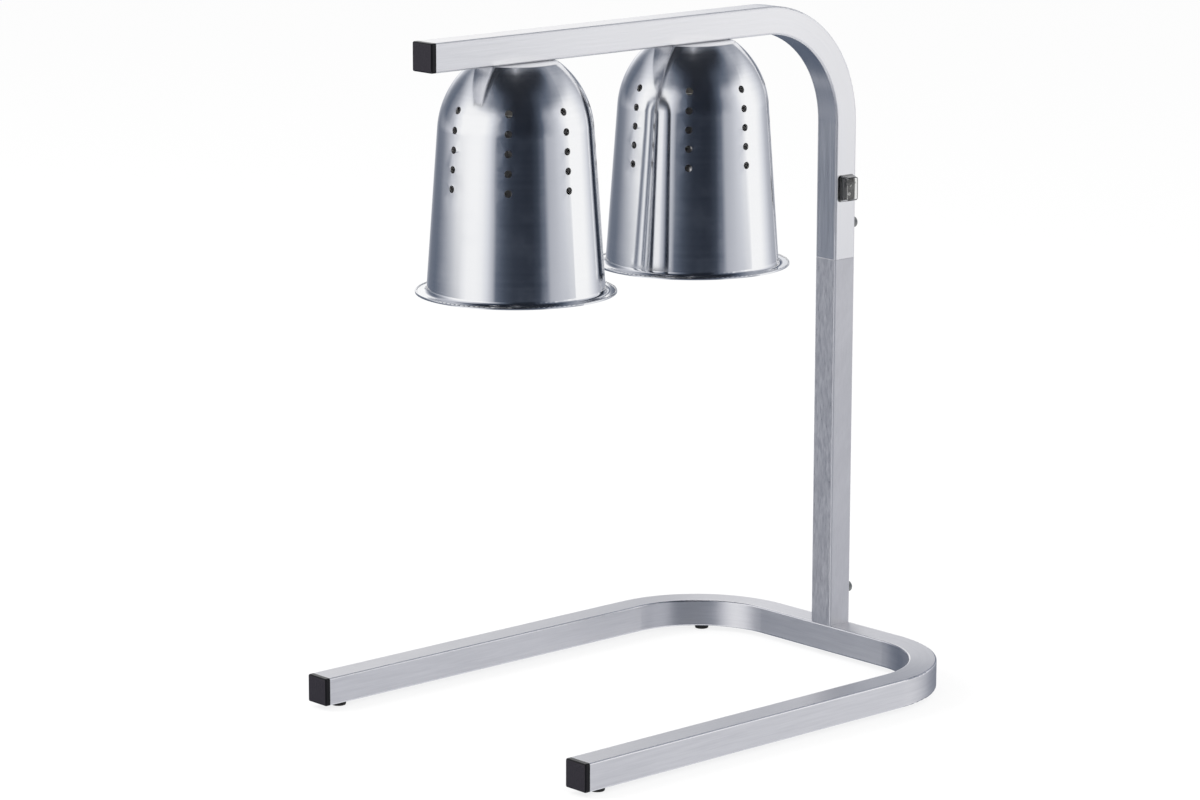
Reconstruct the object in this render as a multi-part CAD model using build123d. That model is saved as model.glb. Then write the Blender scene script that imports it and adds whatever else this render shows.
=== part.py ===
from build123d import *
import os
from math import asin, cos, radians, sin, sqrt, tan

# Two-lamp food heat lamp. Millimetres, +Z up, the arm reaches forward along -Y.
# The origin is on the counter, under the middle of the whole lamp.

# Square tube of the base, post and arm
tube_side = 25.0
tube_wall = 1.5
tube_corner = 1.5
tube_inner_corner = 0.5
tube_end_edge = 0.4

# Base: a tube bent into a U that is open to the front
base_width = 367.0
base_reach = 466.5
base_bend = 92.5

# Feet under the base
foot_height = 5.0
foot_diameter = 14.0
foot_taper = 0.8
foot_edge = 0.6
foot_web = 2.0
foot_inset = 19.5
foot_screw_diameter = 4.0
foot_screw_head_diameter = 7.6
foot_screw_head_height = 2.2
foot_screw_bite = 6.0
foot_recess_clearance = 0.5

# Post and arm
lower_post_length = 343.5
arm_rise = 237.5
arm_reach = 483.5
arm_bend = 100.0

# Push-in end caps of the legs and the arm
cap_head = 5.2
cap_edge = 1.6
cap_plug_length = 14.0
cap_plug_wall = 2.0
cap_clearance = 0.1

# Spigots that the post and the arm slide over
spigot_clearance = 0.2
spigot_wall = 1.5
spigot_corner = 1.0
base_spigot_rise = 45.0
base_spigot_floor = 6.0
post_spigot_rise = 42.0
post_spigot_hold = 55.0
spigot_bolt_diameter = 5.0
spigot_bolt_head_diameter = 9.0
spigot_bolt_head_height = 3.0
spigot_bolt_spacing = 10.4
spigot_bolt_bite = 8.0
spigot_access_clearance = 0.3
rivet_diameter = 4.0
rivet_head_diameter = 8.0
rivet_head_height = 1.2
rivet_head_edge = 1.0
rivet_tail_diameter = 6.0
rivet_tail_length = 3.0
rivet_drop = 14.0
rivet_pitch = 24.0
screw_clearance = 0.05

# Knurled clamp screws in threaded bosses on the back of the post and the arm
clamp_rise = 30.0
clamp_thread_diameter = 6.0
clamp_fit = 0.06
clamp_tip_gap = 0.1
clamp_head_gap = 0.3
clamp_head_diameter = 10.0
clamp_head_length = 6.7
clamp_head_edge = 0.5
knurl_count = 28
knurl_depth = 0.35
boss_diameter = 10.0
boss_height = 4.5
boss_neck_diameter = 8.0

# Spun shades
front_lamp_reach = 386.0
rear_lamp_reach = 180.0
shade_height = 196.0
shade_sheet = 1.0
shade_top_radius = 36.5
shade_top_edge = 1.6
shade_shoulder_radius = 66.3
shade_shoulder_depth = 55.0
shade_mouth_radius = 76.4
shade_rim_radius = 86.0
shade_flare = 4.0
shade_bead_radius = 0.9
vent_diameter = 6.3
vent_first_depth = 35.5
vent_pitch = 16.4
vent_rows = 5
vent_columns = 8
vent_turn = -1.5

# Ceramic lampholders under the shade tops, screwed through to a nut plate in the arm
holder_wall = 7.5
holder_roof = 12.0
holder_edge = 2.0
holder_ear_width = 12.0
holder_ear_thickness = 10.0
holder_screw_spacing = 54.0
holder_screw_diameter = 4.0
holder_screw_head_diameter = 7.2
holder_screw_head_height = 2.8
holder_screw_proud = 2.0
holder_lamp_gap = 1.5
nut_plate_width = 20.0
nut_plate_thickness = 3.0
nut_plate_end = 5.0

# Screw shell and centre contact of a lampholder
shell_play = 0.3
shell_wall = 0.5
shell_gap = 0.5
shell_height = 22.0
lug_width = 6.0
strip_thickness = 0.8
strip_width = 6.4
strip_tail_width = 3.6
contact_diameter = 6.0
contact_height = 4.0

# Reflector bulb
bulb_length = 165.0
bulb_radius = 62.5
bulb_wall = 1.2
bulb_neck_radius = 17.5
bulb_neck_edge = 4.0
bulb_neck_length = 25.5
bulb_neck_blend = 40.0
bulb_shoulder_depth = 118.0
bulb_shoulder_blend = 60.0
bulb_lens_depth = 146.0
bulb_lens_edge = 12.0
bulb_cap_radius = 13.2
bulb_cap_length = 20.0
bulb_cap_wall = 0.6
bulb_cap_ribs = 5
bulb_cap_rib_depth = 0.8
bulb_tip_height = 2.0
bulb_tip_radius = 4.8
bulb_insulator_height = 4.5
bulb_tip_gap = 0.3
stem_radius = 5.0
stem_length = 30.0
stem_button_radius = 11.0
stem_button_height = 4.0
filament_radius = 9.0
filament_wire_radius = 0.8
filament_lead_radius = 0.6
filament_lead_length = 26.0
filament_opening = 40.0

# Rocker switch and its clear splash boot, on the +X side of the arm
switch_rise = 65.0
bezel_width = 14.6
bezel_height = 20.4
bezel_thickness = 3.0
bezel_edge = 0.6
switch_body_width = 12.8
switch_body_height = 18.8
switch_body_depth = 14.0
switch_clearance = 0.1
rocker_width = 10.0
rocker_gap = 0.2
rocker_top_half = 7.1
rocker_foot_half = 7.3
rocker_well_half = 8.6
rocker_well_depth = 8.3
rocker_throw = 24.0
rocker_proud = 0.25
rocker_skirt = 0.3
rocker_belly_half = 3.0
rocker_belly = 2.8
pivot_drop = 4.0
pivot_radius = 1.2
pivot_length = 1.0
pivot_fit = 0.05
boot_width = 20.0
boot_height = 24.5
boot_front_width = 13.8
boot_front_height = 20.9
boot_depth = 8.7
boot_wall = 0.9
boot_flange = 1.0
boot_corner = 3.0
boot_front_corner = 2.2
boot_edge = 1.2
blade_width = 4.8
blade_thickness = 0.8
blade_length = 7.0
blade_spacing_up = 10.0
blade_spacing_across = 6.0

# Terminal block and wiring inside the arm
block_width = 18.0
block_depth = 14.4
block_height = 22.0
block_drop = 5.0
block_edge = 1.0
block_screw_diameter = 3.0
block_screw_head_diameter = 6.0
block_screw_head_height = 2.0
block_screw_bite = 6.0
wire_diameter = 2.8
wire_spacing = 10.0
wire_setback = 9.0
wire_turn = 8.0
front_wire_level = 6.0
rear_wire_level = 1.0
switch_wire_inset = 5.0
wire_fit = 0.05
wire_bush_diameter = 6.0
wire_bush_flange_diameter = 8.4
wire_bush_flange = 1.0

# Cord inlet bushing on the back of the arm
inlet_rise = 22.0
inlet_bore_diameter = 7.4
inlet_body_diameter = 11.4
inlet_flange_diameter = 14.5
inlet_flange = 2.5
inlet_flange_edge = 1.2
inlet_tail_diameter = 12.4
inlet_tail = 2.5
inlet_clearance = 0.1

# Levels and places that follow from the sizes above
tube_half = tube_side / 2
tube_bore = tube_side - 2 * tube_wall
bore_half = tube_bore / 2
front_reach = max(arm_reach, base_reach) + cap_head
back_reach = tube_half + boss_height + clamp_head_gap + clamp_head_length
post_y = (front_reach - back_reach) / 2
leg_x = base_width / 2 - tube_half
base_axis_z = foot_height + tube_half
base_top = foot_height + tube_side
joint_z = base_top + lower_post_length
arm_top = joint_z + arm_rise
arm_bottom = arm_top - tube_side
arm_axis_z = arm_top - tube_half
bend_start_z = arm_axis_z - arm_bend
spigot_side = tube_bore - 2 * spigot_clearance
spigot_half = spigot_side / 2
holder_top = arm_bottom - shade_sheet
roof_z = holder_top - holder_roof
shell_radius = bulb_cap_radius + shell_play + shell_wall
cavity_radius = shell_radius + shell_gap
bulb_tip_z = roof_z - strip_thickness - contact_height - bulb_tip_gap
bulb_neck_depth = bulb_tip_height + bulb_insulator_height + bulb_cap_length
holder_height = holder_top - bulb_tip_z + bulb_neck_depth - holder_lamp_gap
plate_top = arm_bottom + tube_wall + nut_plate_thickness
switch_z = joint_z + switch_rise
boot_seat = tube_half + boot_flange
bezel_face = boot_seat + bezel_thickness
pivot_x = bezel_face - pivot_drop
block_bottom = bend_start_z - block_drop - block_height
lamps = {
    "front": (post_y - front_lamp_reach, front_wire_level),
    "rear": (post_y - rear_lamp_reach, rear_wire_level),
}
nodes = {}


def rod(start, end, radius):
    along = Vector(*end) - Vector(*start)
    flat = Plane(origin=start, z_dir=along)
    return extrude(flat * Circle(radius), along.length)


def headed_screw(seat, way, head_radius, head_height, radius, length):
    # The head stands off its seat against the way the shank points
    point = Vector(*seat)
    shank_way = Vector(*way)
    head = rod(point, point - shank_way * head_height, head_radius)
    shank = rod(point, point + shank_way * length, radius)
    return head + shank


def round_corner(face, corner, radius):
    near = [v for v in face.vertices() if abs(v.X - corner[0]) + abs(v.Y - corner[1]) < 1e-4]
    return fillet(near, radius)


def spun(outline):
    # An outline in radius and height, turned about the Z axis
    return revolve(Plane.XZ * outline, Axis.Z)


def square_ring(side, wall, corner, inner_corner):
    bore = side - 2 * wall
    return RectangleRounded(side, side, corner) - RectangleRounded(bore, bore, inner_corner)


def bent_tube(points, bend, across):
    path = FilletPolyline(*points, radius=bend)
    along = Vector(*points[1]) - Vector(*points[0])
    start = Plane(origin=points[0], x_dir=across, z_dir=along)
    return sweep(start * square_ring(tube_side, tube_wall, tube_corner, tube_inner_corner), path)


def end_cap():
    # Head in front of the tube's end, with a hollow plug that goes into it
    head = extrude(Plane.XZ * RectangleRounded(tube_side, tube_side, tube_corner), cap_head)
    head = fillet(head.faces().sort_by(Axis.Y)[0].edges(), cap_edge)
    plug_side = tube_bore - 2 * cap_clearance
    plug = extrude(Plane.XZ * square_ring(plug_side, cap_plug_wall, tube_inner_corner, tube_inner_corner),
                   -cap_plug_length)
    return head + plug


# Base frame, with holes for the foot screws and the spigot bolts
bend_centre_x = leg_x - base_bend
bend_centre_y = post_y - base_bend
foot_places = {}
for side, sign in (("left", -1), ("right", 1)):
    diagonal = base_bend * sin(radians(45))
    foot_places["front_" + side] = (sign * leg_x, post_y - base_reach + foot_inset)
    foot_places["rear_" + side] = (sign * (bend_centre_x + diagonal), bend_centre_y + diagonal)
bolt_places = [(sign * spigot_bolt_spacing / 2, post_y) for sign in (-1, 1)]
leg_end_y = post_y - base_reach
base_frame = bent_tube(
    [(-leg_x, leg_end_y, base_axis_z), (-leg_x, post_y, base_axis_z),
     (leg_x, post_y, base_axis_z), (leg_x, leg_end_y, base_axis_z)],
    base_bend, (1, 0, 0))
foot_hole_radius = foot_screw_diameter / 2 + screw_clearance
for x, y in foot_places.values():
    base_frame -= rod((x, y, foot_height - tube_wall), (x, y, base_axis_z), foot_hole_radius)
bolt_hole_radius = spigot_bolt_diameter / 2 + screw_clearance
access_radius = spigot_bolt_head_diameter / 2 + spigot_access_clearance
for x, y in bolt_places:
    base_frame -= rod((x, y, base_axis_z), (x, y, base_top + tube_wall), bolt_hole_radius)
    base_frame -= rod((x, y, foot_height - tube_wall), (x, y, base_axis_z), access_radius)
nodes["base_frame"] = base_frame
for side, sign in (("left", -1), ("right", 1)):
    nodes["base_end_cap_" + side] = Pos(sign * leg_x, leg_end_y, base_axis_z) * end_cap()


# Feet: a tapered pad with a recess for its screw
def foot():
    top = foot_diameter / 2
    sole = top - foot_taper
    recess = foot_screw_head_diameter / 2 + foot_recess_clearance
    hole = foot_screw_diameter / 2 + screw_clearance
    roof = foot_height - foot_web
    pad = make_face(Polyline((hole, roof), (recess, roof), (recess, 0), (sole, 0), (top, foot_height),
                             (hole, foot_height), close=True))
    pad = round_corner(pad, (sole, 0), foot_edge)
    return spun(pad)


foot_screws = []
for place, (x, y) in foot_places.items():
    nodes["foot_" + place] = Pos(x, y, 0) * foot()
    foot_screws.append(headed_screw(
        (x, y, foot_height - foot_web), (0, 0, 1), foot_screw_head_diameter / 2, foot_screw_head_height,
        foot_screw_diameter / 2, foot_web + tube_wall + foot_screw_bite))
nodes["foot_screws"] = Compound(foot_screws)


# Spigots: square sleeves that the post and the arm slide over
def spigot(bottom, top):
    ring = square_ring(spigot_side, spigot_wall, spigot_corner, tube_inner_corner)
    return Pos(0, post_y, bottom) * extrude(ring, top - bottom)


base_spigot = spigot(base_top, base_top + base_spigot_rise)
floor_side = spigot_side - spigot_wall
base_spigot += Pos(0, post_y, base_top) * extrude(Rectangle(floor_side, floor_side), base_spigot_floor)
spigot_bolts = []
for x, y in bolt_places:
    base_spigot -= rod((x, y, base_top), (x, y, base_top + base_spigot_floor), bolt_hole_radius)
    spigot_bolts.append(headed_screw(
        (x, y, base_top - tube_wall), (0, 0, 1), spigot_bolt_head_diameter / 2, spigot_bolt_head_height,
        spigot_bolt_diameter / 2, tube_wall + spigot_bolt_bite))
nodes["base_spigot"] = base_spigot
nodes["spigot_bolts"] = Compound(spigot_bolts)

# Lower post, with the upper spigot riveted into its top
back_y = post_y + tube_half
clamp_levels = {"lower": base_top + clamp_rise, "upper": joint_z + clamp_rise}
boss_hole_radius = boss_neck_diameter / 2 + screw_clearance
post_ring = square_ring(tube_side, tube_wall, tube_corner, tube_inner_corner)
lower_post = Pos(0, post_y, base_top) * extrude(post_ring, lower_post_length)
for end_face in (lower_post.faces().sort_by(Axis.Z)[0], lower_post.faces().sort_by(Axis.Z)[-1]):
    lower_post = chamfer(end_face.outer_wire().edges(), tube_end_edge)
lower_post -= rod((0, post_y, clamp_levels["lower"]), (0, back_y + tube_wall, clamp_levels["lower"]),
                  boss_hole_radius)
post_spigot = spigot(joint_z - post_spigot_hold, joint_z + post_spigot_rise)
spigot_back = post_y + spigot_half
tail_start = spigot_back - spigot_wall
rivet_hole_radius = rivet_diameter / 2 + screw_clearance
rivets = []
for row in range(2):
    z = joint_z - rivet_drop - row * rivet_pitch
    hole = rod((0, post_y, z), (0, back_y + tube_wall, z), rivet_hole_radius)
    lower_post -= hole
    post_spigot -= hole
    dome = rod((0, back_y, z), (0, back_y + rivet_head_height, z), rivet_head_diameter / 2)
    dome = fillet(dome.edges().sort_by(Axis.Y)[-1], rivet_head_edge)
    shank = rod((0, tail_start, z), (0, back_y, z), rivet_diameter / 2)
    tail = rod((0, tail_start - rivet_tail_length, z), (0, tail_start, z), rivet_tail_diameter / 2)
    rivets.append(dome + shank + tail)
nodes["lower_post"] = lower_post
nodes["post_spigot"] = post_spigot
nodes["spigot_rivets"] = Compound(rivets)


# Clamp screws: a boss through the tube's back wall and a knurled screw that bears on the spigot
def clamp_boss(z):
    bore = clamp_thread_diameter / 2 + clamp_fit
    collar = rod((0, back_y, z), (0, back_y + boss_height, z), boss_diameter / 2)
    neck = rod((0, back_y - tube_wall, z), (0, back_y, z), boss_neck_diameter / 2)
    return collar + neck - rod((0, back_y - tube_wall, z), (0, back_y + boss_height, z), bore)


def clamp_screw(z):
    head_start = back_y + boss_height + clamp_head_gap
    tip = spigot_back + clamp_tip_gap
    crest = clamp_head_diameter / 2
    step = 180 / knurl_count
    points = []
    for tooth in range(knurl_count):
        for turn, radius in ((0, crest), (step, crest - knurl_depth)):
            angle = radians(2 * step * tooth + turn)
            points.append((radius * cos(angle), radius * sin(angle)))
    seat = Plane(origin=(0, head_start, z), x_dir=(1, 0, 0), z_dir=(0, 1, 0))
    knurl = extrude(seat * make_face(Polyline(*points, close=True)), clamp_head_length)
    rounding = rod((0, head_start, z), (0, head_start + clamp_head_length, z), crest)
    rounding = chamfer(rounding.edges().filter_by(GeomType.CIRCLE), clamp_head_edge)
    return (knurl & rounding) + rod((0, tip, z), (0, head_start, z), clamp_thread_diameter / 2)


for place, z in clamp_levels.items():
    nodes[place + "_clamp_boss"] = clamp_boss(z)
    nodes[place + "_clamp_screw"] = clamp_screw(z)

# Upper arm, bent over the food, with the holes that its fittings need
arm_end_y = post_y - arm_reach
upper_arm = bent_tube([(0, post_y, joint_z), (0, post_y, arm_axis_z), (0, arm_end_y, arm_axis_z)],
                      arm_bend, (1, 0, 0))
upper_arm = chamfer(upper_arm.faces().sort_by(Axis.Z)[0].outer_wire().edges(), tube_end_edge)
upper_arm -= rod((0, post_y, clamp_levels["upper"]), (0, back_y + tube_wall, clamp_levels["upper"]),
                 boss_hole_radius)
cutout = Box(tube_side, switch_body_width + 2 * switch_clearance, switch_body_height + 2 * switch_clearance)
upper_arm -= Pos(tube_side / 2, post_y, switch_z) * cutout
inlet_z = switch_z + inlet_rise
inlet_hole_radius = inlet_body_diameter / 2 + inlet_clearance
upper_arm -= rod((0, post_y, inlet_z), (0, back_y + tube_wall, inlet_z), inlet_hole_radius)
block_z = block_bottom + block_height / 2
block_hole_radius = block_screw_diameter / 2 + screw_clearance
upper_arm -= rod((-tube_half - tube_wall, post_y, block_z), (-bore_half + tube_wall, post_y, block_z),
                 block_hole_radius)
holder_hole_radius = holder_screw_diameter / 2 + screw_clearance
bush_hole_radius = wire_bush_diameter / 2 + screw_clearance
fixing_holes = {}
for end, (lamp_y, level) in lamps.items():
    holes = []
    for sign in (-1, 1):
        screw_y = lamp_y + sign * holder_screw_spacing / 2
        wire_x = sign * wire_spacing / 2
        wire_y = lamp_y + wire_setback
        holes.append(rod((0, screw_y, holder_top), (0, screw_y, plate_top), holder_hole_radius))
        holes.append(rod((wire_x, wire_y, holder_top), (wire_x, wire_y, plate_top), bush_hole_radius))
    fixing_holes[end] = holes
    upper_arm -= holes
nodes["upper_arm"] = upper_arm
nodes["arm_end_cap"] = Pos(0, arm_end_y, arm_axis_z) * end_cap()


# Shades: a flat top, a domed shoulder tangent to a straight wall, and a turned-out rim
def shade_blank():
    rim_top = shade_sheet - shade_height
    shoulder = Vector(shade_shoulder_radius, -shade_shoulder_depth)
    mouth = Vector(shade_mouth_radius, rim_top)
    down = (mouth - shoulder).normalized()
    outward = Vector(-down.Y, down.X)
    top = Vector(shade_top_radius, 0)
    chord = top - shoulder
    dome_radius = -chord.dot(chord) / (2 * chord.dot(outward))
    centre = shoulder - outward * dome_radius
    inner_radius = dome_radius - shade_sheet
    inner_shoulder = shoulder - outward * shade_sheet
    drop = (shade_height + inner_shoulder.Y) / -down.Y
    inner_mouth = inner_shoulder + down * drop
    inner_top_x = centre.X + sqrt(inner_radius ** 2 - (shade_sheet + centre.Y) ** 2)
    inner_top = Vector(inner_top_x, -shade_sheet)
    outer_middle = centre + ((top - centre).normalized() + outward).normalized() * dome_radius
    inner_middle = centre + ((inner_top - centre).normalized() + outward).normalized() * inner_radius
    wall = make_face([
        Line((0, 0), top),
        ThreePointArc(top, outer_middle, shoulder),
        Line(shoulder, mouth),
        Line(mouth, (shade_rim_radius, rim_top)),
        Line((shade_rim_radius, rim_top), (shade_rim_radius, -shade_height)),
        Line((shade_rim_radius, -shade_height), inner_mouth),
        Line(inner_mouth, inner_shoulder),
        ThreePointArc(inner_shoulder, inner_middle, inner_top),
        Line(inner_top, (0, -shade_sheet)),
        Line((0, -shade_sheet), (0, 0)),
    ])
    wall = round_corner(wall, (mouth.X, mouth.Y), shade_flare)
    wall = round_corner(wall, (inner_mouth.X, inner_mouth.Y), shade_flare + shade_sheet)
    wall = round_corner(wall, (top.X, top.Y), shade_top_edge)
    wall = round_corner(wall, (inner_top.X, inner_top.Y), shade_top_edge - shade_sheet)
    bead = Circle(shade_bead_radius)
    bead = Pos(shade_rim_radius - shade_bead_radius, shade_bead_radius - shade_height) * bead
    shell = spun(wall + bead)
    vents = []
    for row in range(vent_rows):
        z = -vent_first_depth - row * vent_pitch
        for column in range(vent_columns):
            punch = rod((shade_top_radius, 0, z), (shade_rim_radius, 0, z), vent_diameter / 2)
            vents.append(Rot(0, 0, vent_turn + column * 360 / vent_columns) * punch)
    return shell - vents


shade = shade_blank()
for end, (lamp_y, level) in lamps.items():
    nodes["shade_" + end] = Pos(0, lamp_y, arm_bottom) * shade - fixing_holes[end]


# Lampholders and what fastens them
def lampholder():
    radius = cavity_radius + holder_wall
    body = extrude(Circle(radius), -holder_height)
    body = fillet(body.edges().sort_by(Axis.Z)[0], holder_edge)
    ears = Rot(0, 0, 90) * SlotCenterToCenter(holder_screw_spacing, holder_ear_width)
    body += extrude(ears, -holder_ear_thickness)
    body -= Pos(0, 0, -holder_roof) * extrude(Circle(cavity_radius), holder_roof - holder_height)
    for sign in (-1, 1):
        screw_y = sign * holder_screw_spacing / 2
        wire_x = sign * wire_spacing / 2
        wire_hole = wire_diameter / 2 + wire_fit
        body -= rod((0, screw_y, 0), (0, screw_y, -holder_ear_thickness), holder_hole_radius)
        body -= rod((wire_x, wire_setback, 0), (wire_x, wire_setback, -holder_roof), wire_hole)
    return body


def socket_shell():
    # Thin sleeve under the roof, with a lug below the neutral wire
    sleeve = extrude(Circle(shell_radius) - Circle(shell_radius - shell_wall), -shell_height)
    lug_length = shell_radius - wire_setback + wire_diameter
    lug_y = wire_setback - wire_diameter + lug_length / 2
    lug = Pos(-wire_spacing / 2, lug_y) * Rectangle(lug_width, lug_length)
    return sleeve + extrude(lug & Circle(shell_radius), -strip_thickness)


def centre_contact():
    # Strip under the roof, from below the live wire to the spring button in the middle
    wire_x = wire_spacing / 2
    right = wire_x + strip_tail_width / 2
    left = -strip_width / 2
    near = strip_width / 2
    far = wire_setback + strip_tail_width / 2
    strip = make_face(Polyline((left, -near), (right, -near), (right, far), (right - strip_tail_width, far),
                               (right - strip_tail_width, near), (left, near), close=True))
    button = extrude(Circle(contact_diameter / 2), -strip_thickness - contact_height)
    return extrude(strip, -strip_thickness) + button


def holder_fixings(lamp_y):
    screws = []
    length = holder_ear_thickness + shade_sheet + tube_wall + nut_plate_thickness + holder_screw_proud
    for sign in (-1, 1):
        screws.append(headed_screw(
            (0, lamp_y + sign * holder_screw_spacing / 2, holder_top - holder_ear_thickness), (0, 0, 1),
            holder_screw_head_diameter / 2, holder_screw_head_height, holder_screw_diameter / 2, length))
    return Compound(screws)


def wire_bushes(lamp_y):
    bushes = []
    for sign in (-1, 1):
        x = sign * wire_spacing / 2
        y = lamp_y + wire_setback
        bush = headed_screw((x, y, plate_top), (0, 0, -1), wire_bush_flange_diameter / 2, wire_bush_flange,
                            wire_bush_diameter / 2, plate_top - holder_top)
        bore = rod((x, y, holder_top), (x, y, plate_top + wire_bush_flange), wire_diameter / 2 + wire_fit)
        bushes.append(bush - bore)
    return Compound(bushes)


nut_plate_length = holder_screw_spacing + 2 * nut_plate_end
for end, (lamp_y, level) in lamps.items():
    nodes["lampholder_" + end] = Pos(0, lamp_y, holder_top) * lampholder()
    nodes["socket_shell_" + end] = Pos(0, lamp_y, roof_z) * socket_shell()
    nodes["centre_contact_" + end] = Pos(0, lamp_y, roof_z) * centre_contact()
    nodes["lampholder_screws_" + end] = holder_fixings(lamp_y)
    plate = extrude(Rectangle(nut_plate_width, nut_plate_length), -nut_plate_thickness)
    nodes["nut_plate_" + end] = Pos(0, lamp_y, plate_top) * plate - fixing_holes[end]
    nodes["wire_bushes_" + end] = wire_bushes(lamp_y)


# Reflector bulbs, drawn down from the tip of the cap at height zero
def bulb_outline(inset):
    neck = bulb_neck_radius - inset
    rim = bulb_radius - inset
    start = -bulb_neck_depth - inset
    neck_end = -bulb_neck_depth - bulb_neck_length - inset
    lens = -bulb_lens_depth
    apex = inset - bulb_length
    sag = lens - apex
    lens_radius = (rim ** 2 + sag ** 2) / (2 * sag)
    half_turn = asin(rim / lens_radius) / 2
    lens_middle = (lens_radius * sin(half_turn), apex + lens_radius * (1 - cos(half_turn)))
    face = make_face([
        Line((0, start), (neck, start)),
        Line((neck, start), (neck, neck_end)),
        Line((neck, neck_end), (rim, -bulb_shoulder_depth)),
        Line((rim, -bulb_shoulder_depth), (rim, lens)),
        ThreePointArc((rim, lens), lens_middle, (0, apex)),
        Line((0, apex), (0, start)),
    ])
    face = round_corner(face, (neck, start), bulb_neck_edge - inset)
    face = round_corner(face, (neck, neck_end), bulb_neck_blend + inset)
    face = round_corner(face, (rim, -bulb_shoulder_depth), bulb_shoulder_blend - inset)
    return round_corner(face, (rim, lens), bulb_lens_edge - inset)


stem_top = -bulb_neck_depth - bulb_wall
stem_end = stem_top - stem_length - stem_button_height


def bulb_glass():
    glass = spun(bulb_outline(0)) - spun(bulb_outline(bulb_wall))
    stem = rod((0, 0, stem_top + bulb_wall / 2), (0, 0, stem_end), stem_radius)
    button = rod((0, 0, stem_end + stem_button_height), (0, 0, stem_end), stem_button_radius)
    return glass + stem + button


def bulb_cap():
    # Rolled screw cap: a thin sleeve with rounded ribs
    top = -bulb_tip_height - bulb_insulator_height
    bottom = top - bulb_cap_length
    root = bulb_cap_radius - bulb_cap_rib_depth
    pitch = bulb_cap_length / bulb_cap_ribs
    lines = []
    for rib in range(bulb_cap_ribs):
        upper = top - rib * pitch
        crest = (bulb_cap_radius, upper - pitch / 2)
        lines.append(ThreePointArc((root, upper), crest, (root, upper - pitch)))
    inner = root - bulb_cap_wall
    lines.append(Polyline((root, bottom), (inner, bottom), (inner, top), (root, top)))
    return spun(make_face(lines))


def bulb_tip():
    # Insulator that narrows to the contact
    root = bulb_cap_radius - bulb_cap_rib_depth
    top = -bulb_tip_height
    seat = top - bulb_insulator_height
    outline = Polyline((0, 0), (bulb_tip_radius, 0), (bulb_tip_radius, top), (root, seat), (0, seat),
                       close=True)
    return spun(make_face(outline))


def filament():
    level = stem_end - filament_lead_length
    half_gap = filament_opening / 2
    ring = CenterArc((0, 0, level), filament_radius, half_gap, 360 - filament_opening)
    start = Plane(origin=ring @ 0, z_dir=ring % 0)
    coil = sweep(start * Circle(filament_wire_radius), ring)
    for tail in (ring @ 0, ring @ 1):
        coil += rod((tail.X, tail.Y, level), (tail.X, tail.Y, stem_end), filament_lead_radius)
    return coil


for end, (lamp_y, level) in lamps.items():
    place = Pos(0, lamp_y, bulb_tip_z)
    nodes["bulb_glass_" + end] = place * bulb_glass()
    nodes["bulb_cap_" + end] = place * bulb_cap()
    nodes["bulb_tip_" + end] = place * bulb_tip()
    nodes["filament_" + end] = place * filament()


# Rocker switch. Its parts are drawn about the pivot's height on the +X side of the arm
def side_block(x_from, x_to, width, height):
    middle = ((x_from + x_to) / 2, post_y, switch_z)
    return Pos(*middle) * Box(x_to - x_from, width, height)


def switch_body():
    back = boot_seat - switch_body_depth
    well_width = rocker_width + 2 * rocker_gap
    bezel = side_block(boot_seat, bezel_face, bezel_width, bezel_height)
    bezel = fillet(bezel.faces().sort_by(Axis.X)[-1].edges(), bezel_edge)
    body = bezel + side_block(back, boot_seat, switch_body_width, switch_body_height)
    body -= side_block(bezel_face - rocker_well_depth, bezel_face, well_width, 2 * rocker_well_half)
    reach = switch_body_width / 2
    return body - rod((pivot_x, post_y - reach, switch_z), (pivot_x, post_y + reach, switch_z),
                      pivot_radius + pivot_fit)


def switch_rocker():
    # Outline across the pivot: height along the switch, then distance out from the pivot
    half_throw = rocker_throw / 2
    valley = pivot_drop + rocker_proud
    crest = valley + rocker_top_half * tan(radians(half_throw))
    outline = make_face(Polyline(
        (0, valley), (rocker_top_half, crest), (rocker_foot_half, -rocker_skirt),
        (rocker_belly_half, -rocker_belly), (-rocker_belly_half, -rocker_belly),
        (-rocker_foot_half, -rocker_skirt), (-rocker_top_half, crest), close=True))
    across = Plane(origin=(0, -rocker_width / 2, 0), x_dir=(0, 0, 1), z_dir=(0, 1, 0))
    rocker = extrude(across * outline, rocker_width)
    reach = rocker_width / 2 + pivot_length
    rocker += rod((0, -reach, 0), (0, reach, 0), pivot_radius)
    return Pos(pivot_x, post_y, switch_z) * Rot(0, half_throw, 0) * rocker


def boot_section(depth, inset):
    # Outline of the boot at a distance from the arm, drawn in by the inset
    share = depth / boot_depth
    width = boot_width + (boot_front_width - boot_width) * share
    height = boot_height + (boot_front_height - boot_height) * share
    corner = boot_corner + (boot_front_corner - boot_corner) * share
    across = Plane(origin=(tube_half + depth, post_y, switch_z), x_dir=(0, 1, 0), z_dir=(1, 0, 0))
    return across * RectangleRounded(width - 2 * inset, height - 2 * inset, corner - inset)


def switch_boot():
    # Clear cap that narrows away from the arm, over a flange with a window for the switch
    outer = loft([boot_section(0, 0), boot_section(boot_depth, 0)])
    outer = fillet(outer.faces().sort_by(Axis.X)[-1].edges(), boot_edge)
    cavity = loft([boot_section(boot_flange, boot_wall), boot_section(boot_depth - boot_wall, boot_wall)])
    window = side_block(tube_half, boot_seat, switch_body_width + 2 * switch_clearance,
                        switch_body_height + 2 * switch_clearance)
    return outer - cavity - window


blade_top = boot_seat - switch_body_depth
blade_places = [(sign * blade_spacing_up / 2, -sign * blade_spacing_across / 2) for sign in (1, -1)]
blades = []
for up, across in blade_places:
    blade = Box(blade_length, blade_width, blade_thickness)
    blades.append(Pos(blade_top - blade_length / 2, post_y + across, switch_z + up) * blade)
nodes["switch_body"] = switch_body()
nodes["switch_rocker"] = switch_rocker()
nodes["switch_boot"] = switch_boot()
nodes["switch_blades"] = Compound(blades)

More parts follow.
